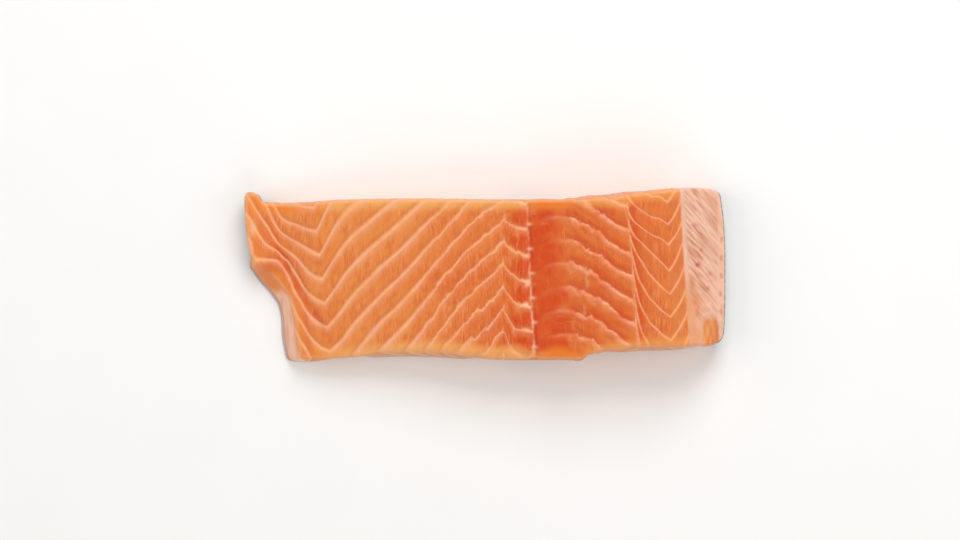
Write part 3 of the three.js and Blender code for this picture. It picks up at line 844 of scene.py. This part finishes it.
def knife_cut_salmon_muscle(masks):
    """Raw salmon muscle cut with a long wet knife.

    The cut leaves it moist and softly glossy, the fibres show as short pale and dark streaks
    along the fish, and light enters by about 2 mm and warms the shadows.
    """
    material, tree = empty_material("knife_cut_salmon_muscle")
    place = node(tree, "ShaderNodeTexCoord", {}, "Object")
    mask = {name: node(tree, "ShaderNodeAttribute", {}, "Fac", attribute_name=name) for name in masks}

    # The fibres are 0.2 mm across, too fine to show, and are drawn 0.5 mm across and 3 mm long.
    # They lie in bundles 1.8 mm across and 11 mm long. Specks of fat are about 0.9 mm wide, and
    # the colour drifts over 6 mm and over 16 mm.
    long_fibre = node(tree, "ShaderNodeMapping", {0: place, 3: (1, 0.16, 0.6)})
    fibre = node(tree, "ShaderNodeTexNoise", {0: long_fibre, 2: per_metre(0.5), 3: 2})
    bundle = node(tree, "ShaderNodeTexNoise", {0: long_fibre, 2: per_metre(1.8), 3: 2})
    grain = node(tree, "ShaderNodeTexNoise", {0: place, 2: per_metre(0.9), 3: 3})
    patch = node(tree, "ShaderNodeTexNoise", {0: place, 2: per_metre(6), 3: 2})
    cloud = node(tree, "ShaderNodeTexNoise", {0: place, 2: per_metre(16), 3: 2})

    strand = node(tree, "ShaderNodeMath", {0: fibre, 1: 0.55, 2: -0.5}, operation="MULTIPLY_ADD")
    strand = node(tree, "ShaderNodeMath", {0: bundle, 1: 0.45, 2: strand}, operation="MULTIPLY_ADD")
    clear = node(tree, "ShaderNodeMapRange", {0: patch, 1: 0.35, 2: 0.62, 3: 0.25})
    clear = node(tree, "ShaderNodeMath", {0: clear, 1: mask["fibrous"]}, operation="MULTIPLY")
    strand = node(tree, "ShaderNodeMath", {0: strand, 1: clear}, operation="MULTIPLY")
    pale_strand = node(tree, "ShaderNodeMapRange", {0: strand, 2: 0.2, 4: 0.6})
    dark_strand = node(tree, "ShaderNodeMapRange", {0: strand, 2: -0.2, 4: 0.55})

    blush = node(tree, "ShaderNodeMapRange", {0: patch, 1: 0.4, 2: 0.6})
    red = node(tree, "ShaderNodeMath", {0: cloud, 1: patch}, operation="ADD")
    red = node(tree, "ShaderNodeMath", {0: red, 1: -1}, operation="ADD")
    red = node(tree, "ShaderNodeMath", {0: red, 1: 0.3, 2: mask["muscle_red"]}, operation="MULTIPLY_ADD")
    muscle = painted(tree, "e68a41", [(red, 1, "d34602")])
    fat = painted(tree, "f6af76", [(blush, 1, "f4ab86")])
    # Painted glow of light through the thin cut edges, paler along parts of the rim.
    rim = painted(tree, "ec8527", [(mask["pale_rim_glow"], 1, "eeab5e")])

    # The grain makes the edges of the fat lines waver.
    wavy = node(
        tree, "ShaderNodeMath", {0: grain, 1: 0.9, 2: mask["from_line"]}, operation="MULTIPLY_ADD",
    )
    line = node(
        tree, "ShaderNodeMapRange", {0: wavy, 1: 0.45, 2: 2.35, 3: 1, 4: 0},
        interpolation_type="SMOOTHSTEP",
    )
    line = node(tree, "ShaderNodeMath", {0: line, 1: mask["line_show"]}, operation="MULTIPLY")
    speck = node(tree, "ShaderNodeMapRange", {0: grain, 1: 0.66, 2: 0.78, 4: 0.5})

    # On the trimmed back, strands 1.1 mm across and 9 mm long slant across the fish.
    slanted = node(tree, "ShaderNodeMapping", {0: place, 2: (0, 0, radians(-42))})
    long_strand = node(tree, "ShaderNodeMapping", {0: slanted, 3: (1, 0.12, 0.05)})
    lean = node(tree, "ShaderNodeTexNoise", {0: long_strand, 2: per_metre(1.1), 3: 1})
    lean = node(tree, "ShaderNodeMapRange", {0: lean, 1: 0.3, 2: 0.7, 3: -0.55, 4: 0.55})
    cap_fat = node(
        tree, "ShaderNodeMath", {0: lean, 1: mask["cap_strands"], 2: mask["cap_fat"]},
        operation="MULTIPLY_ADD", use_clamp=True,
    )
    cap = painted(tree, "c88461", [(cap_fat, 1, "efbea4")])
    meat = painted(tree, "d97834", [(mask["cap_fat"], 1, "ee9f56")])
    colour = painted(tree, muscle, [
        (pale_strand, 1, "f2a469"),
        (dark_strand, 1, "bc4c16"),
        (speck, 0.6, "f0a06c"),
        # Painted shade in the split and past each scraped lip.
        (mask["split"], 0.4, "b84a1c"),
        (mask["wall"], 0.3, "e6a070"),
        # Painted glow of light through the cut edges.
        (mask["rim"], 0.75, rim),
        # Painted light and the fat's pale tail below each line.
        (mask["halo_and_painted_light"], 0.36, "ebaa82"),
        # Painted shade past each fat line.
        (mask["painted_shade"], 0.4, "c27448"),
        (line, 0.95, fat),
        (mask["thread"], 0.6, "eda070"),
        (mask["tendon"], 0.85, "f4b088"),
        (mask["cream"], 0.95, "f3bf98"),
        # Painted highlight along the cut edges.
        (mask["lip"], 0.5, "f0b080"),
        (mask["brown_muscle"], 0.8, "9c5c42"),
        (mask["skin_fat"], 0.9, "ecc2a2"),
        (mask["dark_edge"], 0.65, "cc6230"),
        (mask["lobe"], 0.85, "ee8848"),
        (mask["lining"], 0.95, "f8c4a6"),
        (mask["lining_streak"], 0.5, "dc9478"),
        (mask["fat_cap"], 1, cap),
        (mask["cap_orange"], 0.8, "e8955c"),
        (mask["meat"], 0.9, meat),
        (mask["blood"], 0.9, "c45a4a"),
    ])

    roughness = node(tree, "ShaderNodeMapRange", {0: grain, 1: 0.3, 2: 0.7, 3: 0.38, 4: 0.55})
    # The knife leaves the fibre ends about 0.05 mm proud.
    fine = node(tree, "ShaderNodeMath", {0: strand, 1: grain}, operation="ADD")
    bump = node(tree, "ShaderNodeBump", {"Height": fine, "Strength": 0.45, "Distance": 0.0002})
    shader = node(tree, "ShaderNodeBsdfPrincipled", {
        "Base Color": colour, "Roughness": roughness, "Normal": bump, "IOR": 1.36,
        "Subsurface Weight": 0.2, "Subsurface Radius": (1.0, 0.4, 0.2), "Subsurface Scale": 0.0018,
        "Coat Weight": 0.2, "Coat Roughness": 0.22, "Coat IOR": 1.33,
    })
    node(tree, "ShaderNodeOutputMaterial", {"Surface": shader})
    return material


def scaled_silver_salmon_skin(masks):
    """Salmon skin with its scales left on, rinsed and wet.

    Guanine in the scales gives it a cool metallic silver that darkens to slate along the back,
    where black spots lie under the scales, and each scale's free edge catches the light.
    """
    material, tree = empty_material("scaled_silver_salmon_skin")
    place = node(tree, "ShaderNodeTexCoord", {}, "Object")
    mask = {name: node(tree, "ShaderNodeAttribute", {}, "Fac", attribute_name=name) for name in masks}
    grain = node(tree, "ShaderNodeTexNoise", {0: place, 2: per_metre(1.5), 3: 3})
    cloud = node(tree, "ShaderNodeTexNoise", {0: place, 2: per_metre(20), 3: 2})

    tone = node(tree, "ShaderNodeMapRange", {0: mask["scale_tone"], 1: -0.6, 2: 0.6})
    rosy = node(tree, "ShaderNodeMapRange", {0: cloud, 1: 0.4, 2: 0.65})
    back = painted(tree, "46525a", [(tone, 1, "63717a")])
    freckle = node(tree, "ShaderNodeMapRange", {0: grain, 1: 0.6, 2: 0.72})
    colour = painted(tree, "b9bcc0", [
        (tone, 1, "dcdcdc"),
        (rosy, 0.25, "d9c3c4"),
        (mask["dorsal"], 1, back),
        (freckle, 0.3, "3f4a50"),
        (mask["scale_edge"], 0.45, "e6e8ea"),
        (mask["lateral_line"], 0.6, "6c7176"),
        (mask["spot"], 0.9, "16191b"),
        (mask["cut_edge"], 1, "c7a394"),
    ])
    metallic = node(tree, "ShaderNodeMapRange", {0: mask["cut_edge"], 2: 0.6, 3: 0.45, 4: 0})
    roughness = node(tree, "ShaderNodeMapRange", {0: grain, 1: 0.3, 2: 0.7, 3: 0.24, 4: 0.4})
    # Growth rings roughen each scale by a few hundredths of a millimetre. They are too fine to
    # show, and are drawn as a grain of 1.5 mm.
    bump = node(tree, "ShaderNodeBump", {"Height": grain, "Strength": 0.4, "Distance": 0.0001})
    shader = node(tree, "ShaderNodeBsdfPrincipled", {
        "Base Color": colour, "Metallic": metallic, "Roughness": roughness, "Normal": bump,
        "IOR": 1.4, "Coat Weight": 0.5, "Coat Roughness": 0.12, "Coat IOR": 1.33,
    })
    node(tree, "ShaderNodeOutputMaterial", {"Surface": shader})
    return material


def rolled_matt_white_board():
    """Board painted matt white with a roller, which leaves it faintly uneven."""
    material, tree = empty_material("rolled_matt_white_board")
    place = node(tree, "ShaderNodeTexCoord", {}, "Object")
    roller = node(tree, "ShaderNodeTexNoise", {0: place, 2: per_metre(40)})
    colour = painted(tree, "f4f3f1", [(roller, 1, "f7f6f5")])
    shader = node(tree, "ShaderNodeBsdfPrincipled", {"Base Color": colour, "Roughness": 0.8})
    node(tree, "ShaderNodeOutputMaterial", {"Surface": shader})
    return material


# ---- The portion ----


def centring():
    """The shift that puts the middle of the plain shape where the CAD solid's middle is."""
    steps = (np.linspace(0, 1, count + 1) for count in BOX_GRID)
    plain, _, _ = body(*(grid.ravel() for grid in np.meshgrid(*steps, indexing="ij")))
    box_low, box_high = (np.array(corner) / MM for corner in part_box("fillet"))
    middle = (box_low + box_high) / 2 - (plain.min(0) + plain.max(0)) / 2
    return np.array([middle[0], middle[1], 0])


to_cad = centring()
for name, slot, shape, surface in (
    ("flesh", "salmon_flesh", flesh, knife_cut_salmon_muscle),
    ("skin", "salmon_skin", skin, scaled_silver_salmon_skin),
):
    points, quads, far, masks = shape()
    made = piece(name, points + to_cad, quads, far, masks, surface(masks))
    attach(made, "root")
    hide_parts("fillet")

bpy.ops.mesh.primitive_plane_add(size=8)
floor = bpy.context.object
floor.name = "floor"
floor.data.materials.append(rolled_matt_white_board())

# ---- Light and camera ----

world = bpy.data.worlds.new("studio")
bpy.context.scene.world = world
world.use_nodes = True
background = world.node_tree.nodes["Background"]
background.inputs["Color"].default_value = linear("fffefc")
background.inputs["Strength"].default_value = 0.42
bpy.context.scene.view_settings.view_transform = "Standard"


def softbox(name, azimuth, elevation, distance, size, watts):
    """A square area light that faces the portion: angles in degrees, lengths in metres."""
    light = bpy.data.lights.new(name, "AREA")
    light.size = size
    light.energy = watts
    made = bpy.data.objects.new(name, light)
    a, e = radians(azimuth), radians(elevation)
    made.location = distance * np.array([np.cos(a) * np.cos(e), np.sin(a) * np.cos(e), np.sin(e)])
    made.rotation_euler = (radians(90) - e, 0, a + radians(90))
    bpy.context.scene.collection.objects.link(made)


softbox("key", 75, 42, 1.2, 0.7, 8.3)
softbox("left", 175, 38, 1.4, 0.9, 4.1)
softbox("front", -80, 38, 1.4, 0.9, 3.7)
softbox("right", -5, 38, 1.4, 0.9, 3.2)

lens = bpy.data.cameras.new("camera")
lens.lens = 200
lens.sensor_width = 36
camera = bpy.data.objects.new("camera", lens)
VIEW_MIDDLE = (-1.7, 2.6, 18)  # the camera looks straight down at this point, in millimetres
PIXEL = 0.426  # millimetres to one pixel of the frame at that height
FRAME_WIDE = 960  # pixels
view_distance = PIXEL * FRAME_WIDE * lens.lens / lens.sensor_width
camera.location = ((to_cad + VIEW_MIDDLE + [0, 0, view_distance]) * MM).tolist()
bpy.context.scene.collection.objects.link(camera)
bpy.context.scene.camera = camera
